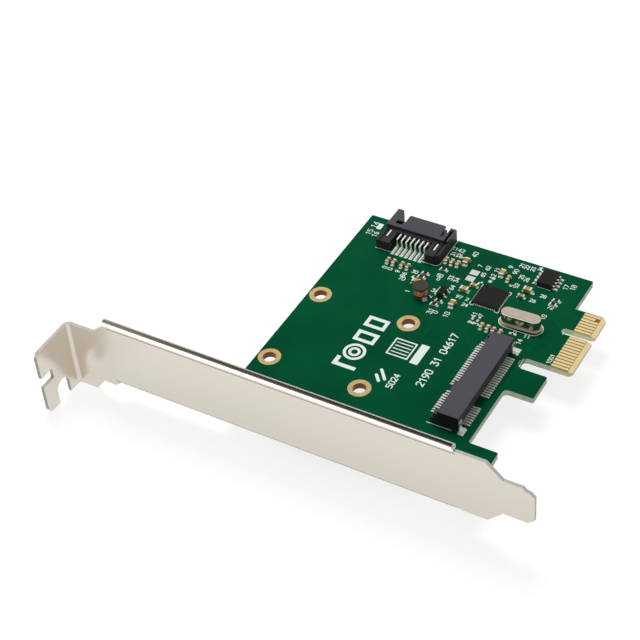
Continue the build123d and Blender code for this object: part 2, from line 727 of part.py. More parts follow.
def solder_pads():
    """Every tinned pad that shows on the component side."""
    pads = []

    def add(x, y, along_x_size, along_y_size, turn=0):
        pad = Box(along_x_size, along_y_size, film_thickness)
        pads.append(Pos(x, y, top + film_thickness / 2) * Rot(0, 0, turn) * pad)

    for size, places in ((small_capacitor, small_capacitor_places), (large_capacitor, large_capacitor_places),
                         (chip_resistor, chip_resistor_places)):
        length, width, height, cap = size
        reach = cap + pad_overhang
        for x, y, turn in places:
            offset = length / 2 - cap + reach / 2
            for side in (-1, 1):
                angle = math.radians(turn)
                add(x + side * offset * math.cos(angle), y + side * offset * math.sin(angle), reach, width, turn)
    for x, y, along_x_size, along_y_size in bare_pads:
        add(x, y, along_x_size, along_y_size)
    pad_far = port_knee_y + port_pin_thickness
    for i in range(port_pins):
        add(port_first_pin + i * port_pitch, (port_pad_near + pad_far) / 2, 0.9, pad_far - port_pad_near)
    for y in socket_rows:
        add((socket_front_toe - 0.15 + socket_front) / 2, y, socket_front - socket_front_toe + 0.15, 0.45)
        wall = socket_rear - 0.7
        add((wall + socket_rear_toe + 0.15) / 2, y - socket_row_shift, socket_rear_toe + 0.15 - wall, 0.45)
    for y0 in (socket_near - 0.9, socket_far - hold_down_width):
        add(socket_rear + 0.75, y0 + 1.15, 1.5, 2.3)
    x, y = flash_centre
    for i in range(flash_leads_per_side):
        row = (i - (flash_leads_per_side - 1) / 2) * flash_pitch
        for side in (-1, 1):
            add(x + side * (flash_lead_span / 2 - 0.45), y + row, 1.3, 0.6)
    x, y = regulator_centre
    for side, rows in ((-1, (-1, 0, 1)), (1, (-1, 1))):
        for row in rows:
            add(x + side * (regulator_lead_span / 2 - 0.2), y + row * regulator_pitch, 0.8, 0.55)
    x, y = inductor_centre
    turn = inductor_terminal_turn
    for side in (-1, 1):
        reach = side * (inductor_radius + inductor_terminal_gap + inductor_terminal_width / 2)
        add(x + reach * math.cos(math.radians(turn)), y + reach * math.sin(math.radians(turn)),
            inductor_terminal_width + 0.2, inductor_terminal_length, turn)
    return pads


def centred_rows(count, pitch):
    return [(i - (count - 1) / 2) * pitch for i in range(count)]


os.makedirs("parts", exist_ok=True)

save("circuit_board", [circuit_board()])
save("standoff_rings", standoff_rings())
save("edge_contacts_top", edge_contacts(1))
save("edge_contacts_bottom", edge_contacts(-1))
save("mounting_bracket", [mounting_bracket()])
save("bracket_screws", bracket_screws())
save("sata_housing", [data_port_housing()])
save("sata_pins", data_port_pins())
save("sata_hold_downs", data_port_hold_downs())
save("msata_housing", [socket_housing()])
save("msata_front_contacts", socket_contacts_front())
save("msata_rear_contacts", socket_contacts_rear())
save("msata_hold_downs", socket_hold_downs())

controller_body, controller_pins = controller()
save("controller_body", [controller_body])
save("controller_pins", controller_pins)

flash_rows = centred_rows(flash_leads_per_side, flash_pitch)
flash_body, flash_leads = leaded_chip(flash_centre, flash_width, flash_length, flash_height, flash_lead_span,
                                      flash_lead_width, flash_lead_thickness, flash_rows, flash_rows)
save("flash_body", [flash_body])
save("flash_leads", flash_leads)

regulator_rows = centred_rows(3, regulator_pitch)
regulator_body, regulator_leads = leaded_chip(
    regulator_centre, regulator_width, regulator_length, regulator_height, regulator_lead_span,
    regulator_lead_width, flash_lead_thickness, regulator_rows, regulator_rows[::2])
save("regulator_body", [regulator_body])
save("regulator_leads", regulator_leads)

crystal_can, crystal_base, crystal_leads = crystal()
save("crystal_can", [crystal_can])
save("crystal_base", [crystal_base])
save("crystal_leads", crystal_leads)

inductor_core, inductor_winding, inductor_terminals = inductor()
save("inductor_core", [inductor_core])
save("inductor_winding", [inductor_winding])
save("inductor_terminals", inductor_terminals)

for name, size, places in (("small_capacitor", small_capacitor, small_capacitor_places),
                           ("large_capacitor", large_capacitor, large_capacitor_places),
                           ("chip_resistor", chip_resistor, chip_resistor_places)):
    passive_bodies, passive_ends = chip_passives(size, places)
    save(name + "_bodies", passive_bodies)
    save(name + "_ends", passive_ends)

save("solder_pads", solder_pads())
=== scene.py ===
"""Looks of the drive adapter card: materials, printed marks, solder, coil wire, stage and camera.

Run inside Blender. Lengths are written in millimetres and turned into metres by mm(). X runs toward
the slot, Y away from the bracket and Z up from the component side. Heights are measured from the
middle of the circuit board unless a name says otherwise.
"""

import json
import math

import bmesh
import bpy
from mathutils import Matrix, Vector

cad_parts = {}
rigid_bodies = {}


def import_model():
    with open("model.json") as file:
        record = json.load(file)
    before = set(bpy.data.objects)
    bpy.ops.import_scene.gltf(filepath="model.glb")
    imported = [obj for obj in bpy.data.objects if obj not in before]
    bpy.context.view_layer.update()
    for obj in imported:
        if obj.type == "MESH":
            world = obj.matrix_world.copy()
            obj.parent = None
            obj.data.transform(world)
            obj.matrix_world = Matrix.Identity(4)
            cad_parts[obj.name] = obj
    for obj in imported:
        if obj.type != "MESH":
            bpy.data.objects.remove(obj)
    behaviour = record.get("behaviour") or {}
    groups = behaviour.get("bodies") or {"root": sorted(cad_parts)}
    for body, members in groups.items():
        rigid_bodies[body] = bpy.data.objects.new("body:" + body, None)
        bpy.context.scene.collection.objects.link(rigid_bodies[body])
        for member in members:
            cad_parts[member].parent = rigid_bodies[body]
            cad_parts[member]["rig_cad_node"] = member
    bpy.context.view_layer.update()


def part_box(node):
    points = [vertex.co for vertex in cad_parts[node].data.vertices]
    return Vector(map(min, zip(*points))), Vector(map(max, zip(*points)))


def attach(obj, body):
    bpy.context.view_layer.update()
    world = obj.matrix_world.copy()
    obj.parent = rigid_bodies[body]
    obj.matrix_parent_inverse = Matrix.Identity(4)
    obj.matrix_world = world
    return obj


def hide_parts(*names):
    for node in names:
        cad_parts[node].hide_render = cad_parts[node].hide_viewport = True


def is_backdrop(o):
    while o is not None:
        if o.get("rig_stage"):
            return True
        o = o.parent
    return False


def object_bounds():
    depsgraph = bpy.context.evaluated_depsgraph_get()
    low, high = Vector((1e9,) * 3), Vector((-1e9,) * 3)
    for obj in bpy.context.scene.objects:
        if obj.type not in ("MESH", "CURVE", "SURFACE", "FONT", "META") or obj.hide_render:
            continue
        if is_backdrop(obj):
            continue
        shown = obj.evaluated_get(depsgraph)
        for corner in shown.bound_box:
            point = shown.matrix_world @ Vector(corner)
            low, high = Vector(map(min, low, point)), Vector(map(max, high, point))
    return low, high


bl_info = {
    "name": "Drive adapter card looks",
    "version": (1, 0, 0),
    "blender": (4, 5, 0),
    "location": "3D View > Sidebar > Card",
    "description": "Dresses the packed adapter card and sets up its stage",
    "category": "Object",
}

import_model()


def mm(*values):
    """Millimetres to metres: one number, or a vector."""
    return values[0] / 1000 if len(values) == 1 else Vector(values) / 1000


def box_mm(node):
    """Lowest and highest corner of a node in millimetres."""
    low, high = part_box(node)
    return low * 1000, high * 1000


def linear(code):
    """A colour written as six sRGB digits, as linear values with full opacity."""
    levels = [int(code[i:i + 2], 16) / 255 for i in (0, 2, 4)]
    return tuple(c / 12.92 if c <= 0.04045 else ((c + 0.055) / 1.055) ** 2.4 for c in levels) + (1.0,)


BODY = "root"

# Heights of the board's upper face and of the pads on it
TOP = round(box_mm("circuit_board")[1].z, 3)
PAD = round(box_mm("solder_pads")[1].z, 3)

# Contact tab of the board: where it starts, its side nearest the bracket, and the height at which
# its bevel turns from warm to pale
TAB_START = -5.4
TAB_SIDE = -13.5
BEVEL_MIDDLE = 0.35
CUT_PAINTED_GLOW = 0.2                      # painted glow on the cut edges of the glass fibre: an emission that stands in for light on them

# Bracket: the blade's length between its sloping ends, the two creases above and below the board, where
# lines of painted shade lie, and the limits of its cut edges and of the painted highlight round the lip
BLADE_SPAN = (-96.0, -6.6)
UPPER_CREASE = (TOP + 14.0, TOP + 14.3)
LOWER_CREASE = (TOP - 2.75, TOP - 2.45)
LIP_HEIGHT = TOP + 14.95
LOWEST_EDGE = TOP - 8.0
LIP_FREE_EDGE = -56.72
LIP_FREE_END = -7.7
BLADE_BACK = -57.1
FOLDED_BELOW = -60.5
TAB_BEND_END = -103.0

# Printed strokes: each run after the first rises by one or two such steps, so that no two
# neighbours have faces in one plane
STROKE_STEP = 0.003
OUTLINE_PEN = 0.18
TRACK_WIDTH = 0.24
TRACK_HEIGHT = 0.008
VIA_RADIUS = 0.3
VIA_HEIGHT = 0.012

# Camera, fitted to standard sizes: lens for a sensor 36 wide, place over the board's upper face,
# and the directions right, down and ahead in the picture
LENS = 97.41
SENSOR = 36.0
CAMERA_PLACE = (108.22, -276.77, 279.93)
CAMERA_RIGHT = (0.86537, 0.496008, -0.071483)
CAMERA_DOWN = (0.290465, -0.612693, -0.735009)
CAMERA_AHEAD = (-0.408367, 0.615291, -0.674279)

# Lamps: direction from the card, then distance, width and depth in metres
LAMPS = (
    ("key", (-0.32, 0.40, 0.86), 0.6, 0.35, 0.35),
    ("strip", (-0.40, -0.86, 0.30), 0.6, 1.4, 0.40),
)

# Studio cards, bent along one arc: its radius, its centre in Y and Z, its first and last angle in
# degrees and its number of flat runs; then each card's left and right end in X, two colours and glow
CARD_RADIUS = 460
CARD_CENTRE = (-57, 16)
CARD_ANGLES = (30, 128)
CARD_RUNS = 12
CARDS = (
    ("black_card", -362, 120, "050505", "0B0B0B", 0.0),
    # The grey card's glow is painted light
    ("grey_card", -900, -362, "8E8A70", "9A967C", 0.5),
)

# Floor: half its side in metres, and its white near the card and far from it
FLOOR_HALF = 3
FLOOR_NEAR, FLOOR_FAR = 150.0, 500.0
FLOOR_WHITE = (0.82, 0.95)

# Strokes of the plain numerals, in a cell 0.6 wide and 1 high
DIGITS = {
    "0": [[(0, .15), (0, .85), (.15, 1), (.45, 1), (.6, .85), (.6, .15), (.45, 0), (.15, 0), (0, .15)]],
    "1": [[(.1, .8), (.35, 1), (.35, 0)]],
    "2": [[(0, .85), (.15, 1), (.45, 1), (.6, .85), (.6, .6), (0, 0), (.6, 0)]],
    "3": [[(0, 1), (.6, 1), (.25, .6), (.45, .6), (.6, .4), (.6, .15), (.45, 0), (.15, 0), (0, .15)]],
    "4": [[(.45, 0), (.45, 1), (0, .3), (.6, .3)]],
    "5": [[(.6, 1), (0, 1), (0, .55), (.4, .6), (.6, .4), (.6, .15), (.45, 0), (0, 0)]],
    "6": [[(.5, 1), (.15, .75), (0, .4), (0, .15), (.15, 0), (.45, 0), (.6, .15), (.6, .4), (.45, .55),
           (.05, .45)]],
    "7": [[(0, 1), (.6, 1), (.2, 0)]],
    "8": [[(.15, .5), (0, .65), (0, .85), (.15, 1), (.45, 1), (.6, .85), (.6, .65), (.45, .5), (.15, .5),
           (0, .35), (0, .15), (.15, 0), (.45, 0), (.6, .15), (.6, .35), (.45, .5)]],
    "9": [[(.1, 0), (.45, .25), (.6, .6), (.6, .85), (.45, 1), (.15, 1), (0, .85), (0, .6), (.15, .45),
           (.55, .55)]],
}

# Small printed numerals beside the parts: centre, height, turn in degrees, text
LABELS = [
    (-66.4, 15.8, 1.5, 90, "14"), (-66.4, 12.7, 1.3, 90, "15"), (-64.6, 12.5, 1.3, 90, "16"),
    (-42.9, 15.9, 1.1, 0, "3142"), (-43.3, 14.0, 1.0, 90, "31"), (-41.7, 13.9, 1.0, 90, "32"),
    (-40.4, 13.6, 1.0, 90, "3"), (-38.3, 16.0, 1.2, 90, "40"), (-35.3, 12.7, 1.0, 90, "7"),
    (-33.2, 12.7, 1.0, 90, "62"), (-33.2, 10.0, 1.0, 90, "65"), (-30.9, 13.0, 1.0, 90, "11"),
    (-30.8, 10.4, 1.1, 90, "12"), (-28.3, 15.5, 1.1, 90, "9"), (-26.5, 14.4, 1.1, 90, "90"),
    (-26.1, 17.2, 1.0, 90, "21"), (-24.7, 17.0, 1.0, 90, "22"), (-23.1, 17.0, 1.0, 90, "23"),
    (-21.5, 17.8, 0.9, 90, "24"), (-24.4, 13.2, 1.0, 90, "25"), (-22.9, 12.8, 1.0, 90, "26"),
    (-25.2, 9.3, 1.0, 90, "5"), (-24.2, 9.8, 1.0, 90, "52"), (-19.6, 8.8, 1.0, 90, "8"),
    (-16.8, 9.0, 1.0, 0, "28"), (-18.4, 6.5, 1.0, 0, "26"), (-11.6, 14.9, 1.2, 90, "18"),
    (-13.2, 14.3, 1.1, 90, "17"), (-13.6, 6.1, 1.0, 0, "72"), (-48.8, 3.9, 1.0, 0, "30"),
    (-48.5, 2.1, 0.9, 0, "4"), (-50.6, 0.4, 1.1, 0, "70"), (-56.4, 2.3, 1.1, 90, "0"),
    (-54.9, 2.3, 1.1, 90, "0"), (-52.8, 2.3, 1.1, 90, "9"), (-50.9, 1.8, 1.1, 90, "86"),
    (-39.8, 5.6, 1.1, 90, "33"), (-38.2, 5.5, 1.1, 90, "34"), (-42.6, 5.3, 1.0, 0, "50"),
    (-42.4, 4.0, 1.0, 0, "0"), (-47.2, -3.2, 1.0, 90, "1"), (-41.4, -2.6, 1.0, 90, "2"),
    (-41.2, -0.2, 1.1, 0, "36"), (-38.0, 2.6, 1.1, 90, "64"), (-32.9, 6.7, 0.9, 0, "4"),
    (-34.9, 0.3, 1.0, 0, "97"), (-32.8, 0.3, 1.0, 0, "2"), (-32.4, -1.7, 1.0, 0, "24"),
    (-28.8, -3.9, 1.2, 90, "41"), (-27.3, -3.4, 1.0, 90, "7"), (-28.5, -6.6, 1.2, 90, "2"),
    (-27.1, -6.6, 1.2, 90, "3"), (-34.9, -6.7, 1.2, 90, "10"), (-38.9, -7.2, 1.2, 90, "31"),
    (-37.7, -7.0, 1.2, 90, "0"), (-25.3, -7.6, 0.8, 90, "1"), (-14.4, -5.5, 1.0, 0, "11"),
    (-17.6, -5.3, 1.0, 0, "0"), (-15.3, -7.8, 1.1, 90, "14"), (-13.7, 2.3, 1.1, 90, "10"),
    (-6.3, -10.0, 1.0, 90, "1001"), (-7.3, -0.7, 0.9, 0, "1"),
]

# Large printed numerals in the open part of the board: the same, then the pen
BIG_LABELS = [(-29.7, -21.4, 1.75, 90, "2190 31 04617", 0.3), (-35.75, -32.1, 1.45, 90, "5024", 0.26)]

# Thin printed lines round the parts
OUTLINES = (
    [(-62.06, 8.05), (-58.0, 8.05)], [(-49.3, 8.05), (-45.3, 8.05), (-44.5, 8.85), (-44.5, 18.9)],
    [(-22.9, -40.3), (-16.8, -40.3)], [(-19.5, 11.6), (-16.2, 11.6)],
    [(-31.66, 5.9), (-31.66, 6.85), (-30.7, 6.85)], [(-25.0, 6.85), (-24.07, 6.85), (-24.07, 5.9)],
    [(-24.07, 0.0), (-24.07, -0.95), (-25.0, -0.95)], [(-30.7, -0.95), (-31.66, -0.95), (-31.66, 0.0)],
)

# Faint copper tracks under the coating, and the plated through holes between them
TRACKS = [
    [(-5.6, 1.5), (-9.4, 1.5), (-11.0, 3.1), (-24.2, 3.1)],
    [(-5.6, 2.5), (-9.0, 2.5), (-10.1, 3.6), (-24.2, 3.6)],
    [(-5.6, 4.5), (-8.4, 4.5), (-9.9, 6.0), (-15.0, 6.0), (-16.4, 4.6), (-24.2, 4.6)],
    [(-5.6, 5.5), (-8.0, 5.5), (-9.1, 6.6), (-15.4, 6.6), (-16.9, 5.1), (-24.2, 5.1)],
    [(-31.6, 3.2), (-36.6, 3.2), (-38.0, 4.6), (-47.6, 4.6), (-49.5, 6.5), (-49.5, 7.6)],
    [(-31.6, 3.7), (-36.8, 3.7), (-38.2, 5.1), (-47.9, 5.1), (-50.8, 7.9)],
    [(-31.6, 4.7), (-37.0, 4.7), (-38.6, 6.3), (-48.4, 6.3), (-53.4, 8.2)],
    [(-29.6, -1.0), (-29.6, -9.0), (-24.4, -14.2), (-24.4, -27.1), (-23.5, -27.1)],
    [(-29.1, -1.0), (-29.1, -8.6), (-23.9, -13.8), (-23.9, -17.5), (-23.5, -17.5)],
    [(-5.6, -4.5), (-10.4, -4.5), (-12.2, -6.3), (-12.2, -22.0), (-13.6, -23.4)],
    [(-5.6, -5.5), (-10.0, -5.5), (-11.5, -7.0), (-11.5, -20.0)],
    [(-43.9, -5.4), (-43.9, -6.2), (-42.3, -7.8), (-38.4, -7.8), (-36.4, -9.8), (-36.4, -16.5),
     (-31.0, -16.5)],
]

VIAS = [
    (-32.9, -3.6), (-31.6, -5.0), (-30.4, -3.0), (-34.4, -9.4), (-41.3, 1.8), (-44.3, 7.2),
    (-47.9, 9.4), (-36.9, 0.7), (-33.0, 13.8), (-23.4, 11.2), (-22.4, 3.9), (-12.1, 4.4), (-10.2, 0.4),
    (-9.8, -2.9), (-12.6, -8.6), (-8.8, -8.4), (-59.2, 1.2), (-48.7, -1.4), (-25.9, -10.2),
    (-22.0, -10.2), (-9.9, 11.6), (-13.4, 17.0), (-31.6, 16.2), (-62.7, 5.6),
]


def add_node(tree, kind, fills=(), take=0, **settings):
    """Add one shader node, set it up, fill or link its inputs by number or name, give one output."""
    made = tree.nodes.new("ShaderNode" + kind)
    for key, value in settings.items():
        setattr(made, key, value)
    for key, value in dict(fills).items():
        if isinstance(value, bpy.types.NodeSocket):
            tree.links.new(value, made.inputs[key])
        else:
            made.inputs[key].default_value = value
    return made.outputs[take] if made.outputs else None


# Settings of a node that mixes two colours, which are its inputs 6 and 7
COLOURS = {"take": 2, "data_type": "RGBA"}


def place_mm(tree, stretch=(1, 1, 1)):
    """The point on the part in millimetres, stretched for patterns that run one way."""
    spot = add_node(tree, "TexCoord", take="Object")
    scale = tuple(1000 * s for s in stretch)
    return add_node(tree, "VectorMath", {0: spot, 1: scale}, operation="MULTIPLY")


def place_parts(tree):
    """The point's X, Y and Z in millimetres."""
    return add_node(tree, "SeparateXYZ", {0: place_mm(tree)}).node.outputs


def normal_parts(tree):
    """X, Y and Z of the direction that the surface faces on the part."""
    return add_node(tree, "SeparateXYZ", {0: add_node(tree, "TexCoord", take="Normal")}).node.outputs


def within(tree, value, low=None, high=None):
    """1 where a number lies between two limits, else 0; either limit may be left out."""
    tests = [add_node(tree, "Math", {0: value, 1: limit}, operation=operation)
             for limit, operation in ((low, "GREATER_THAN"), (high, "LESS_THAN")) if limit is not None]
    return all_of(tree, *tests)


def all_of(tree, *masks):
    """Product of masks and factors: 1 where every mask is 1."""
    both = masks[0]
    for mask in masks[1:]:
        both = add_node(tree, "Math", {0: both, 1: mask}, operation="MULTIPLY")
    return both


def any_of(tree, *masks):
    """Highest of several masks: 1 where any mask is 1."""
    most = masks[0]
    for mask in masks[1:]:
        most = add_node(tree, "Math", {0: most, 1: mask}, operation="MAXIMUM")
    return most


def facing_up(tree, least=0.7, both=False):
    """1 where the surface faces up the part, or up or down when both is set, else 0."""
    lift = normal_parts(tree)[2]
    if both:
        lift = add_node(tree, "Math", {0: lift}, operation="ABSOLUTE")
    return within(tree, lift, low=least)


def material(name):
    """A new material and its empty node tree."""
    made = bpy.data.materials.new(name)
    made.use_nodes = True
    made.node_tree.nodes.clear()
    return made, made.node_tree


def surface(tree, **sockets):
    """Close a material with one Principled surface; sockets are named with underscores for spaces."""
    fills = {key.replace("_", " "): value for key, value in sockets.items()}
    shader = add_node(tree, "BsdfPrincipled", fills)
    add_node(tree, "OutputMaterial", {"Surface": shader})


def grained(name, size, dark, light, rough, stretch=(1, 1, 1), detail=3.0, harsh=0.5, lift=None,
            **sockets):
    """A material whose colour, roughness and relief all follow one grain of a size in millimetres."""
    made, tree = material(name)
    grain = add_node(tree, "TexNoise", {"Vector": place_mm(tree, stretch), "Scale": 1 / size,
                                        "Detail": detail, "Roughness": harsh})
    if isinstance(rough, tuple):
        rough = add_node(tree, "MapRange", {0: grain, 3: rough[0], 4: rough[1]})
    if lift:
        sockets["Normal"] = add_node(tree, "Bump", {"Height": grain, "Strength": lift[0],
                                                    "Distance": mm(lift[1])})
    surface(tree, Base_Color=add_node(tree, "Mix", {0: grain, 6: dark, 7: light}, **COLOURS),
            Roughness=rough, **sockets)
    return made


# Glass-epoxy laminate under a green solder-resist coating: slow clouds where the coating is thicker,
# the cloth's weave just showing, bare brown resin between the contacts, and pale layered cut edges,
# painted paler on the contact tab and given a painted glow: both are painted light. The cloth's threads
# show about 0.7 mm apart. Its layers, a fifth of a millimetre thick, are drawn as streaks of that size.
def coated_laminate():
    made, tree = material("coated_glass_laminate")
    coating = tuple(bpy.context.scene.card_look.coating_colour)
    spot = place_mm(tree)
    at = place_parts(tree)
    flat = facing_up(tree, 0.97, both=True)
    on_tab = all_of(tree, within(tree, at[0], low=TAB_START), within(tree, at[1], low=TAB_SIDE))
    bevel = all_of(tree, on_tab, within(tree, at[2], low=BEVEL_MIDDLE))

    cloud = add_node(tree, "TexNoise", {"Vector": spot, "Scale": 1 / 14.0})
    cloud = add_node(tree, "MapRange", {0: cloud, 1: 0.35, 2: 0.65})
    weave = add_node(tree, "TexWave", {"Vector": spot, "Scale": 0.9, "Distortion": 1.5, "Detail": 2.0},
                     take=1, wave_type="BANDS", bands_direction="DIAGONAL")
    coat = add_node(tree, "Mix", {0: cloud, 6: coating, 7: linear("005030")}, **COLOURS)
    coat = add_node(tree, "Mix", {0: all_of(tree, weave, 0.08), 6: coat, 7: linear("006038")}, **COLOURS)

    knots = add_node(tree, "TexNoise", {"Vector": spot, "Scale": 1 / 0.6})
    resin = add_node(tree, "Mix", {0: knots, 6: linear("805E24"), 7: linear("9A7832")}, **COLOURS)
    face = add_node(tree, "Mix", {0: on_tab, 6: coat, 7: resin}, **COLOURS)

    layers = add_node(tree, "TexNoise", {"Vector": place_mm(tree, (0.5, 0.5, 6.0)), "Scale": 1 / 0.9,
                                         "Detail": 3.0})
    layers = add_node(tree, "MapRange", {0: layers, 1: 0.35, 2: 0.65})
    cut = add_node(tree, "Mix", {0: layers, 6: linear("A8C4A4"), 7: linear("DCE8D8")}, **COLOURS)
    # On the contact tab the cut edges are painted paler: painted light
    cut = add_node(tree, "Mix", {0: on_tab, 6: cut, 7: linear("EDE6CC")}, **COLOURS)
    cut = add_node(tree, "Mix", {0: bevel, 6: cut, 7: linear("DDC894")}, **COLOURS)

    ripple = add_node(tree, "TexNoise", {"Vector": spot, "Scale": 1 / 0.8})
    surface(tree, Base_Color=add_node(tree, "Mix", {0: flat, 6: cut, 7: face}, **COLOURS),
            Roughness=add_node(tree, "MapRange", {0: flat, 3: 0.8, 4: 0.36}),
            # The cut edges glow: painted light
            Emission_Color=cut,
            Emission_Strength=add_node(tree, "MapRange", {0: flat, 3: CUT_PAINTED_GLOW, 4: 0.0}),
            Normal=add_node(tree, "Bump", {"Height": ripple, "Strength": 0.12, "Distance": mm(0.02)}),
            IOR=1.5, Specular_IOR_Level=0.05)
    return made


# Hard gold plate of the edge contacts: warm, half bright, with wipe marks along the insertion
# direction. Real wipe marks are hairlines; they are drawn about 0.1 mm wide to show.
def gold_plate():
    return grained("hard_gold_plate", 0.35, linear("F8D898"), linear("FFEFC0"), (0.3, 0.5),
                   stretch=(0.15, 3.0, 1.0), Metallic=0.25)


# Gold-plated copper of the hole rings: pale and mottled on the faces; the plated barrel inside each
# hole is painted darker and browner, painted shade of the hole.
def ring_plate():
    made, tree = material("gold_plated_copper")
    spot = place_mm(tree)
    mottle = add_node(tree, "TexNoise", {"Vector": spot, "Scale": 1 / 0.9, "Detail": 3.0})
    satin = add_node(tree, "TexNoise", {"Vector": spot, "Scale": 1 / 0.3})
    face = add_node(tree, "Mix", {0: mottle, 6: linear("D2A766"), 7: linear("F6DFA6")}, **COLOURS)
    # The walls inside the holes are painted dark brown: painted shade
    surface(tree, Base_Color=add_node(tree, "Mix", {0: facing_up(tree, both=True), 6: linear("8E5618"),
                                                    7: face}, **COLOURS),
            Roughness=add_node(tree, "MapRange", {0: satin, 3: 0.35, 4: 0.55}), Metallic=0.4)
    return made


# Nickel-plated sheet steel of the bracket, rolled and folded: mirror-like with fine rolling marks
# along its length, dull sheared edges, dark lines of painted shade along the creases where the flanges
# start, and a painted highlight, a light line round the lip's free edge and end. Real rolling marks are
# hairlines; they are drawn about 0.1 mm wide.
def bracket_steel():
    made, tree = material("nickel_plated_steel")
    spot = place_mm(tree)
    at = place_parts(tree)
    normal = normal_parts(tree)
    lengthways, sideways, upright = [
        within(tree, add_node(tree, "Math", {0: part}, operation="ABSOLUTE"), low=0.5)
        for part in normal]

    rolled = add_node(tree, "TexNoise", {"Vector": place_mm(tree, (0.04, 4.0, 4.0)), "Scale": 1 / 0.35,
                                         "Detail": 3.0})
    cloud = add_node(tree, "TexNoise", {"Vector": spot, "Scale": 1 / 22.0, "Detail": 3.0})
    patch = add_node(tree, "MapRange", {0: cloud, 1: 0.35, 2: 0.65})
    tone = add_node(tree, "Mix", {0: patch, 6: linear("DED5CB"), 7: linear("D9D7CA")}, **COLOURS)
    tone = add_node(tree, "Mix", {0: all_of(tree, rolled, 0.2), 6: tone, 7: linear("C9C3B8")}, **COLOURS)

    front = all_of(tree, within(tree, normal[1], high=-0.5), within(tree, at[0], *BLADE_SPAN))
    # Dark lines along both creases on the blade's front: painted shade in the folds
    crease = any_of(tree, within(tree, at[2], *UPPER_CREASE), within(tree, at[2], *LOWER_CREASE))
    tone = add_node(tree, "Mix", {0: all_of(tree, crease, front, 0.75), 6: tone, 7: linear("7E766A")},
                    **COLOURS)

    sheared = any_of(tree, upright, all_of(tree, sideways, within(tree, at[1], high=FOLDED_BELOW)),
                     all_of(tree, lengthways, within(tree, at[0], low=TAB_BEND_END)))
    sheared = all_of(tree, sheared, within(tree, at[1], high=BLADE_BACK),
                     within(tree, at[2], LOWEST_EDGE, LIP_HEIGHT))
    # A light line round the lip's free edge and end, in the dull edge finish: a painted highlight
    painted_lip_highlight = all_of(tree, within(tree, at[2], low=LIP_HEIGHT),
                       any_of(tree, within(tree, at[1], low=LIP_FREE_EDGE),
                              within(tree, at[0], low=LIP_FREE_END)))
    # The dull finish covers the sheared edges, which are real, and the painted highlight on the lip
    dull = any_of(tree, sheared, painted_lip_highlight)
    edge = add_node(tree, "Mix", {0: rolled, 6: linear("BCBCB8"), 7: linear("D6D6D0")}, **COLOURS)
    surface(tree, Base_Color=add_node(tree, "Mix", {0: dull, 6: tone, 7: edge}, **COLOURS),
            Metallic=add_node(tree, "MapRange", {0: dull, 3: 1.0, 4: 0.15}),
            Roughness=add_node(tree, "MapRange", {0: cloud, 3: 0.22, 4: 0.28}),
            Normal=add_node(tree, "Bump", {"Height": rolled, "Strength": 0.03, "Distance": mm(0.02)}))
    return made


# Bright nickel plate of the two screws, turned: smooth, with faint clouds half a millimetre wide.
def screw_nickel():
    return grained("bright_nickel_plate", 0.5, linear("BDBAB4"), linear("D8D6D2"), (0.2, 0.34),
                   Metallic=1.0)


def nylon(name, slate_from, walls, ledges, slate):
    """Glass-filled nylon: black walls; faces that look up are painted lighter, and slate from a given
    height up: painted light from above and painted sheen.
    """
    made, tree = material(name)
    speck = add_node(tree, "TexNoise", {"Vector": place_mm(tree), "Scale": 1 / 0.12})
    flow = add_node(tree, "TexNoise", {"Vector": place_mm(tree, (1, 0.2, 1)), "Scale": 1 / 1.6})
    high = within(tree, place_parts(tree)[2], low=TOP + slate_from)
    # Faces that look up are painted lighter, and slate from the given height up: painted light from
    # above and painted sheen
    ledge = add_node(tree, "Mix", {0: high, 6: linear(ledges), 7: slate}, **COLOURS)
    tone = add_node(tree, "Mix", {0: facing_up(tree), 6: linear(walls), 7: ledge}, **COLOURS)
    tone = add_node(tree, "Mix", {0: all_of(tree, flow, 0.15), 6: tone, 7: linear("4A4A50")}, **COLOURS)
    tone = add_node(tree, "Mix", {0: all_of(tree, speck, 0.10), 6: tone, 7: linear("6A6A70")}, **COLOURS)
    surface(tree, Base_Color=tone, Roughness=add_node(tree, "MapRange", {0: speck, 3: 0.42, 4: 0.6}),
            Normal=add_node(tree, "Bump", {"Height": speck, "Strength": 0.10, "Distance": mm(0.02)}),
            Specular_IOR_Level=0.4)
    return made


# Moulded glass-filled nylon of the data port: satin black with flow lines; only the tops of the frame
# and the hood are painted slate, a painted sheen, and the lower tops dark grey, painted light. The glass
# specks are drawn 0.12 mm wide, coarser than real, to show.
def port_nylon():
    return nylon("glass_filled_nylon_black", 2.9, "08090A", "26282B", linear("43444A"))


# The same nylon of the card socket, whose roof and long lip are painted slate, a painted sheen.
def socket_nylon():
    slate = tuple(bpy.context.scene.card_look.socket_colour)
    return nylon("glass_filled_nylon_slate", 1.6, "0C0D0E", "1D1F20", slate)


# Bright tin plated on leads, straps and the chip parts' end caps: dull and pale on faces that look up,
# mirror-like on the sides, so that the tops show as a painted highlight and the sides as painted shade.
# The frost's real crystals are too fine to show, so they are drawn 0.25 mm wide.
def tin_plate():
    made, tree = material("bright_tin_plate")
    frost = add_node(tree, "TexNoise", {"Vector": place_mm(tree), "Scale": 1 / 0.25, "Detail": 3.0})
    surface(tree, Base_Color=add_node(tree, "Mix", {0: frost, 6: linear("E6E8E2"), 7: linear("FCFCF8")},
                                      **COLOURS),
            # Dull tops and mirror-like sides: a painted highlight on the tops, painted shade on the
            # sides
            Metallic=add_node(tree, "MapRange", {0: facing_up(tree, 0.5), 3: 0.9, 4: 0.15}),
            Roughness=add_node(tree, "MapRange", {0: frost, 3: 0.2, 4: 0.4}),
            Normal=add_node(tree, "Bump", {"Height": frost, "Strength": 0.15, "Distance": mm(0.02)}))
    return made


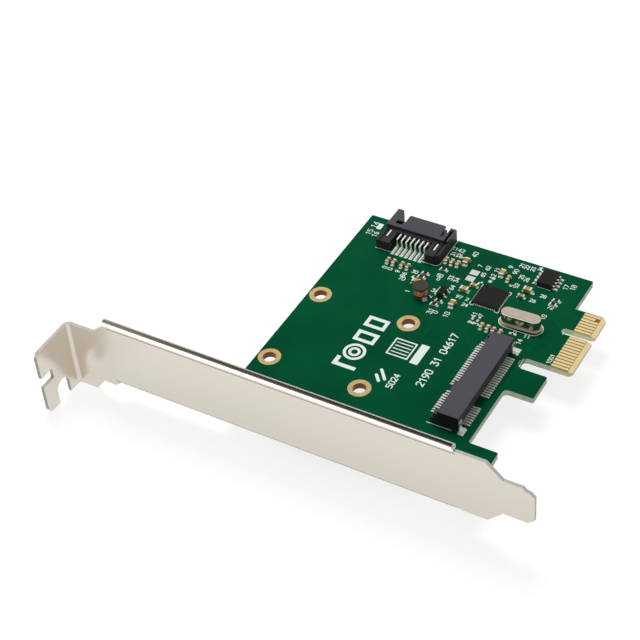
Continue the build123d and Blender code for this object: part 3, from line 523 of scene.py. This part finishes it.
# Soft tin solder of pads and fillets, reflowed: pale, half bright and lumpy by a third of a millimetre.
def soft_solder():
    return grained("soft_solder", 0.35, linear("D9DFD2"), linear("FBFDF6"), (0.3, 0.5), lift=(0.5, 0.06),
                   Metallic=0.35)


# Moulded epoxy of the chips: matte near-black brown. The mould's pits, finer than the picture can
# show, are drawn 0.09 mm wide.
def chip_epoxy():
    return grained("moulded_epoxy", 0.09, linear("0D0E0D"), linear("1A1B19"), (0.5, 0.7), detail=2.0,
                   harsh=0.7, lift=(0.25, 0.03), Specular_IOR_Level=0.35)


# Nickel silver of the timing crystal, deep drawn: a satin crown with faint lines along the can,
# and brighter walls.
def crystal_metal():
    made, tree = material("drawn_nickel_silver")
    drawn = add_node(tree, "TexNoise", {"Vector": place_mm(tree, (0.2, 1.0, 1.0)), "Scale": 1 / 0.5,
                                        "Detail": 3.0})
    crown = facing_up(tree, 0.8)
    surface(tree, Base_Color=add_node(tree, "Mix", {0: drawn, 6: linear("C0B4A4"), 7: linear("D8CCBE")},
                                      **COLOURS),
            Metallic=add_node(tree, "MapRange", {0: crown, 3: 1.0, 4: 0.3}),
            Roughness=add_node(tree, "MapRange", {0: crown, 3: 0.18, 4: 0.55}))
    return made


# Sintered ferrite of the coil's core: matte charcoal, with pits drawn 0.15 mm wide to show.
def ferrite():
    return grained("sintered_ferrite", 0.15, linear("2C2E28"), linear("41413A"), 0.6, harsh=0.6,
                   lift=(0.3, 0.03))


# Enamelled copper wire of the coil: glossy, from dark red-brown to bright orange at random, partly the
# enamel's own tint and partly a painted highlight at its bright end.
def coil_wire():
    made, tree = material("enamelled_copper")
    tint = add_node(tree, "TexNoise", {"Vector": place_mm(tree), "Scale": 1 / 0.6})
    tint = add_node(tree, "MapRange", {0: tint, 1: 0.35, 2: 0.65})
    surface(tree, Base_Color=add_node(tree, "Mix", {0: tint, 6: linear("6A2A14"), 7: linear("E0864A")},
                                      **COLOURS),
            Metallic=0.7, Roughness=0.28, Coat_Weight=0.6)
    return made


# Fired ceramic of the chip capacitors: tan, varying from part to part. Its grain is too fine to show
# and is drawn 0.1 mm wide.
def tan_ceramic():
    made, tree = material("fired_tan_ceramic")
    spot = place_mm(tree)
    tint = add_node(tree, "TexNoise", {"Vector": spot, "Scale": 1 / 3.2, "Detail": 1.0})
    tint = add_node(tree, "MapRange", {0: tint, 1: 0.35, 2: 0.65})
    fine = add_node(tree, "TexNoise", {"Vector": spot, "Scale": 1 / 0.1})
    tone = add_node(tree, "Mix", {0: tint, 6: linear("9C7A3E"), 7: linear("CBA050")}, **COLOURS)
    tone = add_node(tree, "Mix", {0: all_of(tree, fine, 0.3), 6: tone, 7: linear("7C5C2C")}, **COLOURS)
    surface(tree, Base_Color=tone, Roughness=add_node(tree, "MapRange", {0: fine, 3: 0.4, 4: 0.6}))
    return made


# Glazed alumina of the chip resistors: glossy dark glass on top, pale ceramic on the sides.
def resistor_ceramic():
    made, tree = material("glazed_alumina")
    fine = add_node(tree, "TexNoise", {"Vector": place_mm(tree), "Scale": 1 / 0.2})
    glaze = add_node(tree, "Mix", {0: fine, 6: linear("171616"), 7: linear("2B2827")}, **COLOURS)
    surface(tree, Base_Color=add_node(tree, "Mix", {0: facing_up(tree), 6: linear("CFC9BC"), 7: glaze},
                                      **COLOURS),
            Roughness=add_node(tree, "MapRange", {0: fine, 3: 0.25, 4: 0.4}))
    return made


# White epoxy ink, screen printed: matte and slightly worn in spots of a third of a millimetre.
def print_ink():
    whole = tuple(bpy.context.scene.card_look.ink_colour)
    return grained("white_screen_ink", 0.3, linear("D2E6DC"), whole, 0.6)


# Solder-resist coating where copper lies under it: a little lighter than the rest of the board.
def coated_copper():
    return grained("coated_copper_track", 6.0, linear("005030"), linear("005C38"), 0.34, detail=2.0,
                   IOR=1.5, Specular_IOR_Level=0.05)


MATERIALS = {
    "circuit_board": coated_laminate, "standoff_rings": ring_plate, "edge_contacts_top": gold_plate,
    "edge_contacts_bottom": gold_plate, "mounting_bracket": bracket_steel,
    "bracket_screws": screw_nickel, "sata_housing": port_nylon, "sata_pins": tin_plate,
    "sata_hold_downs": tin_plate, "msata_housing": socket_nylon, "msata_front_contacts": tin_plate,
    "msata_rear_contacts": tin_plate, "msata_hold_downs": tin_plate, "controller_body": chip_epoxy,
    "controller_pins": tin_plate, "flash_body": chip_epoxy, "flash_leads": tin_plate,
    "regulator_body": chip_epoxy, "regulator_leads": tin_plate, "crystal_can": crystal_metal,
    "crystal_base": crystal_metal, "crystal_leads": soft_solder, "inductor_core": ferrite,
    "inductor_winding": coil_wire, "inductor_terminals": soft_solder,
    "small_capacitor_bodies": tan_ceramic, "small_capacitor_ends": tin_plate,
    "large_capacitor_bodies": tan_ceramic, "large_capacitor_ends": tin_plate,
    "chip_resistor_bodies": resistor_ceramic, "chip_resistor_ends": tin_plate,
    "solder_pads": soft_solder,
}
made_so_far = {}


def material_of(maker):
    """The one material that a maker gives, made on first use."""
    if maker not in made_so_far:
        made_so_far[maker] = maker()
    return made_so_far[maker]


class Builder:
    """Collects simple solids in millimetres and turns them into one object."""

    def __init__(self):
        self.mesh = bmesh.new()

    def prism(self, outline, z0, z1):
        """A flat plate from its outline."""
        low = [self.mesh.verts.new(mm(x, y, z0)) for x, y in outline]
        high = [self.mesh.verts.new(mm(x, y, z1)) for x, y in outline]
        self.mesh.faces.new(high)
        self.mesh.faces.new(low[::-1])
        for i in range(len(low)):
            j = (i + 1) % len(low)
            self.mesh.faces.new((low[i], low[j], high[j], high[i]))

    def bar(self, x0, x1, y0, y1, z0, z1):
        self.prism([(x0, y0), (x1, y0), (x1, y1), (x0, y1)], z0, z1)

    def stroke(self, points, width, z0, z1):
        """A line drawn with a round-ended pen: a plate for each run, no two neighbours equally high."""
        corner = 0.7                # how far along and across a rounded end's corners lie
        for i, ((x0, y0), (x1, y1)) in enumerate(zip(points, points[1:])):
            run = Vector((x1 - x0, y1 - y0))
            if run.length < 1e-6:
                continue
            along = run.normalized() * width / 2
            across = Vector((-along.y, along.x))
            start, end = Vector((x0, y0)), Vector((x1, y1))
            outline = [start - along * corner + across * corner, start - along,
                       start - along * corner - across * corner, start - across,
                       end - across, end + along * corner - across * corner,
                       end + along, end + along * corner + across * corner,
                       end + across, start + across]
            self.prism([tuple(p) for p in outline], z0, z1 + STROKE_STEP * (i % 3))

    def ring(self, x, y, radius, pen, z0, z1, count=32):
        """A flat ring of plates that only touch."""
        steps = [math.radians(360 * i / count) for i in range(count + 1)]
        inner, outer = radius - pen / 2, radius + pen / 2
        for a, b in zip(steps, steps[1:]):
            self.prism([(x + inner * math.cos(a), y + inner * math.sin(a)),
                        (x + outer * math.cos(a), y + outer * math.sin(a)),
                        (x + outer * math.cos(b), y + outer * math.sin(b)),
                        (x + inner * math.cos(b), y + inner * math.sin(b))], z0, z1)

    def frame(self, x0, x1, y0, y1, pen, z0, z1):
        """A hollow rectangle of four bars that only touch."""
        self.bar(x0, x1, y0, y0 + pen, z0, z1)
        self.bar(x0, x1, y1 - pen, y1, z0, z1)
        self.bar(x0, x0 + pen, y0 + pen, y1 - pen, z0, z1)
        self.bar(x1 - pen, x1, y0 + pen, y1 - pen, z0, z1)

    def disc(self, x, y, radius, z0, z1, count=20):
        turns = [2 * math.pi * i / count for i in range(count)]
        self.prism([(x + radius * math.cos(a), y + radius * math.sin(a)) for a in turns], z0, z1)

    def dome(self, x, y, z, rx, ry, rz):
        """Upper half of an ellipsoid that sits on the board."""
        before = set(self.mesh.verts)
        bmesh.ops.create_uvsphere(self.mesh, u_segments=12, v_segments=8, radius=1)
        for v in set(self.mesh.verts) - before:
            v.co = mm(x + v.co.x * rx, y + v.co.y * ry, z + max(v.co.z, 0) * rz)

    def torus(self, x, y, z, radius, wire, around=36, section=10):
        """One turn of wire round an upright axis."""
        rings = []
        for i in range(around):
            a = 2 * math.pi * i / around
            ring = []
            for k in range(section):
                b = 2 * math.pi * k / section
                r = radius + wire * math.cos(b)
                place = mm(x + r * math.cos(a), y + r * math.sin(a), z + wire * math.sin(b))
                ring.append(self.mesh.verts.new(place))
            rings.append(ring)
        for i in range(around):
            for k in range(section):
                j, m = (i + 1) % around, (k + 1) % section
                self.mesh.faces.new((rings[i][k], rings[j][k], rings[j][m], rings[i][m]))

    def finish(self, name, maker, smooth=False):
        """Make the object, give it its material and let it ride on the card."""
        bmesh.ops.remove_doubles(self.mesh, verts=self.mesh.verts, dist=1e-8)
        bmesh.ops.recalc_face_normals(self.mesh, faces=self.mesh.faces)
        data = bpy.data.meshes.new(name)
        self.mesh.to_mesh(data)
        self.mesh.free()
        piece = bpy.data.objects.new(name, data)
        bpy.context.scene.collection.objects.link(piece)
        for face in data.polygons:
            face.use_smooth = smooth
        data.materials.append(material_of(maker))
        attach(piece, BODY)
        return piece


def write_text(builder, x, y, height, turn, text, pen, z0, z1):
    """Plain numerals centred on a point; a space leaves one cell free."""
    step = 0.85 * height
    start = -step * len(text) / 2 + 0.12 * height
    turning = Matrix.Rotation(math.radians(turn), 2)
    for i, sign in enumerate(text):
        for line in DIGITS.get(sign, []):
            points = []
            for u, v in line:
                spot = turning @ Vector((start + i * step + u * height, (v - 0.5) * height))
                points.append((x + spot.x, y + spot.y))
            builder.stroke(points, pen, z0, z1)


class CardLookSettings(bpy.types.PropertyGroup):
    """Sizes, colours and lights of the card's looks that a user may change"""
    coating_colour: bpy.props.FloatVectorProperty(
        name="Board coating", description="Colour of the board's coating where it is darkest",
        subtype="COLOR", size=4, min=0, max=1, default=linear("00472B"))
    # The card socket's roof colour is a painted sheen
    socket_colour: bpy.props.FloatVectorProperty(
        name="Card socket", description="Colour of the card socket's worn roof",
        subtype="COLOR", size=4, min=0, max=1, default=linear("4A4A52"))
    ink_colour: bpy.props.FloatVectorProperty(
        name="Printed ink", description="Colour of the printed marks where the ink is whole",
        subtype="COLOR", size=4, min=0, max=1, default=linear("F4FBF7"))
    ink_thickness: bpy.props.FloatProperty(
        name="Ink thickness", description="Thickness of the printed marks",
        unit="LENGTH", min=0, precision=6, default=mm(0.02))
    pen_width: bpy.props.FloatProperty(
        name="Pen width", description="Stroke width of the small numerals",
        unit="LENGTH", min=0, precision=6, default=mm(0.18))
    wire_radius: bpy.props.FloatProperty(
        name="Coil wire radius", description="Radius of the coil's wire",
        unit="LENGTH", min=0, precision=6, default=mm(0.13))
    floor_drop: bpy.props.FloatProperty(
        name="Floor gap", description="Distance from the card's lowest point down to the floor",
        unit="LENGTH", min=0, precision=6, default=mm(0.05))
    key_power: bpy.props.FloatProperty(
        name="Key light", description="Power of the large soft light from above",
        unit="POWER", min=0, default=2.9)
    strip_power: bpy.props.FloatProperty(
        name="Strip light", description="Power of the strip that draws the highlights on folds",
        unit="POWER", min=0, default=2.9)
    surround_level: bpy.props.FloatProperty(
        name="Surround", description="Strength of the even light from all round",
        subtype="FACTOR", min=0, max=1, default=0.35)


class CARD_OT_finishes(bpy.types.Operator):
    """Give every solid of the card the material it is made of"""
    bl_idname = "card.finishes"
    bl_label = "Finishes"

    def execute(self, context):
        for o in list(bpy.data.objects):
            node = o.get("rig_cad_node")
            if node is None:
                continue
            if node not in MATERIALS:
                raise RuntimeError(f"no finish for {node}")
            for place in o.material_slots:
                place.material = material_of(MATERIALS[node])
        return {"FINISHED"}


class CARD_OT_print(bpy.types.Operator):
    """Add the white outlines, numerals and simple marks printed on the board"""
    bl_idname = "card.print_marks"
    bl_label = "Printed marks"

    def execute(self, context):
        look = context.scene.card_look
        pen_width = look.pen_width * 1000
        z0, z1 = TOP, TOP + look.ink_thickness * 1000
        ink = Builder()
        for x, y, height, turn, text in LABELS:
            write_text(ink, x, y, height, turn, text, pen_width, z0, z1)
        for x, y, height, turn, text, pen in BIG_LABELS:
            write_text(ink, x, y, height, turn, text, pen, z0, z1)
        self.outlines(ink, z0, z1)
        self.large_marks(ink, z0, z1)
        ink.finish("printed_marks", print_ink)
        return {"FINISHED"}

    def outlines(self, ink, z0, z1):
        """Thin lines round the parts, pin-one dots and a white block."""
        for line in OUTLINES:
            ink.stroke(line, OUTLINE_PEN, z0, z1)
        # Rounded outline that follows the crystal's rim
        low, high = box_mm("crystal_base")
        x, y = round((low.x + high.x) / 2, 2), round((low.y + high.y) / 2, 2)
        half, radius = 3.2, 2.35
        turns = [math.pi * i / 12 for i in range(13)]
        rim = [(x + side * (half + radius * math.sin(a)), y + side * radius * math.cos(a))
               for side in (1, -1) for a in turns]
        ink.stroke(rim + rim[:1], OUTLINE_PEN, z0, z1)
        ink.disc(-32.3, 7.3, 0.28, z0, z1)
        ink.disc(-21.4, 17.6, 0.25, z0, z1)
        ink.bar(-65.6, -64.3, 14.6, 16.8, z0, z1)

    def large_marks(self, ink, z0, z1):
        """Plain shapes in the open part of the board: rings, bars and frames."""
        ink.ring(-48.5, -27.4, 2.4, 0.75, z0, z1)
        ink.ring(-48.5, -27.4, 1.15, 0.7, z0, z1, count=20)
        ink.bar(-51.6, -45.5, -33.1, -32.0, z0, z1)
        ink.bar(-51.6, -50.5, -32.0, -30.0, z0, z1)
        for near in (-23.7, -18.4):
            ink.frame(-51.2, -45.6, near, near + 3.7, 0.95, z0, z1)
        ink.bar(-35.3, -33.2, -25.1, -18.3, z0, z1)
        ink.frame(-41.8, -36.1, -24.6, -18.8, 0.38, z0, z1)
        for k in range(4):
            ink.bar(-41.0, -36.8, -23.5 + 1.1 * k, -23.2 + 1.1 * k, z0, z1)
        ink.stroke([(-39.9, -29.9), (-37.7, -32.5)], 0.75, z0, z1)
        ink.stroke([(-40.2, -31.9), (-38.8, -33.5)], 0.75, z0, z1)


class CARD_OT_tracks(bpy.types.Operator):
    """Add the copper tracks that show faintly under the coating, and the plated through holes"""
    bl_idname = "card.tracks"
    bl_label = "Tracks and vias"

    def execute(self, context):
        copper = Builder()
        for line in TRACKS:
            copper.stroke(line, TRACK_WIDTH, TOP, TOP + TRACK_HEIGHT)
        for x, y in VIAS:
            copper.disc(x, y, VIA_RADIUS, TOP, TOP + VIA_HEIGHT, 16)
        copper.finish("coated_tracks", coated_copper)
        return {"FINISHED"}


class CARD_OT_coil(bpy.types.Operator):
    """Wind the coil's wire round its core"""
    bl_idname = "card.coil"
    bl_label = "Coil wire"

    def execute(self, context):
        low, high = box_mm("inductor_winding")
        centre = (low + high) / 2
        wire = context.scene.card_look.wire_radius * 1000
        outer = (high.x - low.x) / 2
        tall = high.z - low.z
        turns = int(tall / (2 * wire))
        if turns < 2:
            raise RuntimeError("the coil's wire is too thick for its core")
        coil = Builder()
        for layer in range(3):
            for i in range(turns):
                z = low.z + wire + i * (tall - 2 * wire) / (turns - 1)
                coil.torus(centre.x, centre.y, z, outer - wire - layer * 1.8 * wire, wire)
        piece = coil.finish("coil_wire", coil_wire, smooth=True)
        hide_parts("inductor_winding")
        return {"FINISHED"}


class CARD_OT_solder(bpy.types.Operator):
    """Add the small solder fillets where parts meet their pads"""
    bl_idname = "card.solder"
    bl_label = "Solder fillets"

    def execute(self, context):
        fillets = Builder()
        for node in ("small_capacitor_ends", "large_capacitor_ends", "chip_resistor_ends",
                     "flash_leads", "regulator_leads"):
            for low, high in self.islands(node):
                centre = (low + high) / 2
                size = high - low
                fillets.dome(centre.x, centre.y, PAD, 0.5 * size.x + 0.16, 0.5 * size.y + 0.06,
                             min(0.28, 0.4 * size.z))
        for low, high in self.islands("sata_pins"):
            fillets.dome((low.x + high.x) / 2, low.y + 0.5, PAD, 0.38, 0.95, 0.35)
        fillets.finish("solder_fillets", soft_solder, smooth=True)
        return {"FINISHED"}

    def islands(self, node):
        """Lowest and highest corner, in millimetres, of each separate solid of a node."""
        found = next(o for o in bpy.data.objects if o.get("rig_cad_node") == node)
        mesh = bmesh.new()
        mesh.from_mesh(found.data)
        bmesh.ops.remove_doubles(mesh, verts=mesh.verts, dist=1e-7)
        met, boxes = set(), []
        for first in mesh.verts:
            if first in met:
                continue
            met.add(first)
            queue, points = [first], []
            while queue:
                v = queue.pop()
                points.append(v.co * 1000)
                for edge in v.link_edges:
                    other = edge.other_vert(v)
                    if other not in met:
                        met.add(other)
                        queue.append(other)
            boxes.append((Vector([min(p[i] for p in points) for i in range(3)]),
                          Vector([max(p[i] for p in points) for i in range(3)])))
        mesh.free()
        return boxes


class CARD_OT_stage(bpy.types.Operator):
    """Set up the floor, the soft light, the cards that metal reflects, and the camera"""
    bl_idname = "card.stage"
    bl_label = "Stage"

    def execute(self, context):
        look = context.scene.card_look
        low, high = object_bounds()
        self.floor(low.z - look.floor_drop)
        self.cards()
        self.light((low + high) / 2, {"key": look.key_power, "strip": look.strip_power})
        self.surround(context.scene, look.surround_level)
        self.camera(context.scene)
        context.scene.view_settings.view_transform = "Standard"
        return {"FINISHED"}

    def seen(self, tree):
        """1 for what the camera sees straight, mirrored or through something, else 0."""
        return any_of(tree, *[add_node(tree, "LightPath", take=ray)
                              for ray in ("Is Camera Ray", "Is Glossy Ray", "Is Transmission Ray")])

    def sheet(self, name, made, points, faces):
        """A sheet of the stage, which is no piece of the card."""
        data = bpy.data.meshes.new(name)
        data.from_pydata(points, [], faces)
        data.materials.append(made)
        sheet = bpy.data.objects.new(name, data)
        bpy.context.scene.collection.objects.link(sheet)
        sheet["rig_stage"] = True
        return sheet

    # White paper: matte, with fibres drawn 3 mm wide. It adds its own white for the camera, so that
    # only a faint shadow stays.
    def floor(self, height):
        made, tree = material("white_paper")
        spot = place_mm(tree)
        fibre = add_node(tree, "TexNoise", {"Vector": spot, "Scale": 1 / 3.0, "Detail": 3.0})
        away = add_node(tree, "VectorMath", {0: spot}, take="Value", operation="LENGTH")
        away = add_node(tree, "MapRange", {0: away, 1: FLOOR_NEAR, 2: FLOOR_FAR})
        white = add_node(tree, "MapRange", {0: away, 3: FLOOR_WHITE[0], 4: FLOOR_WHITE[1]})
        surface(tree, Base_Color=add_node(tree, "Mix", {0: fibre, 6: linear("878786"),
                                                        7: linear("8B8B8A")}, **COLOURS),
                Roughness=1.0, Specular_IOR_Level=0.0, Emission_Color=linear("FFFFFF"),
                Emission_Strength=all_of(tree, self.seen(tree), white))
        side = FLOOR_HALF
        self.sheet("floor", made, [(-side, -side, height), (side, -side, height), (side, side, height),
                                   (-side, side, height)], [(0, 1, 2, 3)])

    # Paper-covered studio cards, curved behind and above the card, black beside grey: matte, with
    # fibres drawn 2 mm wide; the grey one also glows, painted light. They show only in reflections.
    def cards(self):
        first, last = CARD_ANGLES
        arc = [math.radians(first + (last - first) * i / CARD_RUNS) for i in range(CARD_RUNS + 1)]
        for name, left, right, dark, light, glow in CARDS:
            made = grained(name, 2.0, linear(dark), linear(light), 0.9, detail=2.0,
                           Emission_Color=linear("F4EEDC"), Emission_Strength=glow)
            points = [mm(x, CARD_RADIUS * math.cos(a) + CARD_CENTRE[0],
                         CARD_RADIUS * math.sin(a) + CARD_CENTRE[1]) for a in arc for x in (left, right)]
            card = self.sheet(name, made, points, [(2 * i, 2 * i + 1, 2 * i + 3, 2 * i + 2)
                                                   for i in range(CARD_RUNS)])
            card.visible_camera = False
            card.visible_diffuse = False
            card.visible_shadow = False
            card.visible_transmission = False

    def light(self, centre, powers):
        """A large soft light from above, and a strip in front that draws the highlights on folds."""
        for name, towards, distance, width, depth in LAMPS:
            strip = name == "strip"
            data = bpy.data.lights.new(name, "AREA")
            data.shape = "RECTANGLE" if strip else "ELLIPSE"
            data.size, data.size_y = width, depth
            data.energy = powers[name]
            lamp = bpy.data.objects.new(name, data)
            bpy.context.scene.collection.objects.link(lamp)
            direction = Vector(towards).normalized()
            turn = direction.to_track_quat("Z", "Y").to_matrix().to_4x4()
            lamp.matrix_world = Matrix.Translation(centre + direction * distance) @ turn
            lamp.visible_glossy = strip
            lamp.visible_diffuse = not strip

    def surround(self, scene, strength):
        """Even light from all round, which the camera sees as plain white."""
        world = bpy.data.worlds.new("surround")
        scene.world = world
        world.use_nodes = True
        tree = world.node_tree
        tree.nodes.clear()
        level = add_node(tree, "MapRange", {0: self.seen(tree), 3: strength, 4: 1.0})
        back = add_node(tree, "Background", {0: linear("FFFFFF"), 1: level})
        add_node(tree, "OutputWorld", {0: back})

    def camera(self, scene):
        """The camera at the photograph's viewpoint."""
        data = bpy.data.cameras.new("camera")
        data.lens = LENS
        data.sensor_width = SENSOR
        data.clip_start, data.clip_end = 0.01, 10
        camera = bpy.data.objects.new("camera", data)
        scene.collection.objects.link(camera)
        right, down, ahead = Vector(CAMERA_RIGHT), Vector(CAMERA_DOWN), Vector(CAMERA_AHEAD)
        turn = Matrix((right, -down, -ahead)).transposed().to_4x4()
        x, y, z = CAMERA_PLACE
        camera.matrix_world = Matrix.Translation(mm(x, y, z + TOP)) @ turn
        scene.camera = camera


class CARD_PT_panel(bpy.types.Panel):
    """Settings and buttons that dress the card"""
    bl_idname = "CARD_PT_panel"
    bl_label = "Adapter card"
    bl_space_type = "VIEW_3D"
    bl_region_type = "UI"
    bl_category = "Card"

    def draw(self, context):
        look = context.scene.card_look
        for name in look.__annotations__:
            self.layout.prop(look, name)
        for step in STEPS:
            self.layout.operator(step.bl_idname)


STEPS = (CARD_OT_finishes, CARD_OT_print, CARD_OT_tracks, CARD_OT_coil, CARD_OT_solder, CARD_OT_stage)
CLASSES = (CardLookSettings,) + STEPS + (CARD_PT_panel,)


def register():
    for c in CLASSES:
        bpy.utils.register_class(c)
    bpy.types.Scene.card_look = bpy.props.PointerProperty(type=CardLookSettings)


def unregister():
    del bpy.types.Scene.card_look
    for c in reversed(CLASSES):
        bpy.utils.unregister_class(c)


def main():
    register()
    bpy.ops.card.finishes()
    bpy.ops.card.print_marks()
    bpy.ops.card.tracks()
    bpy.ops.card.coil()
    bpy.ops.card.solder()
    bpy.ops.card.stage()


if __name__ == "__main__":
    main()
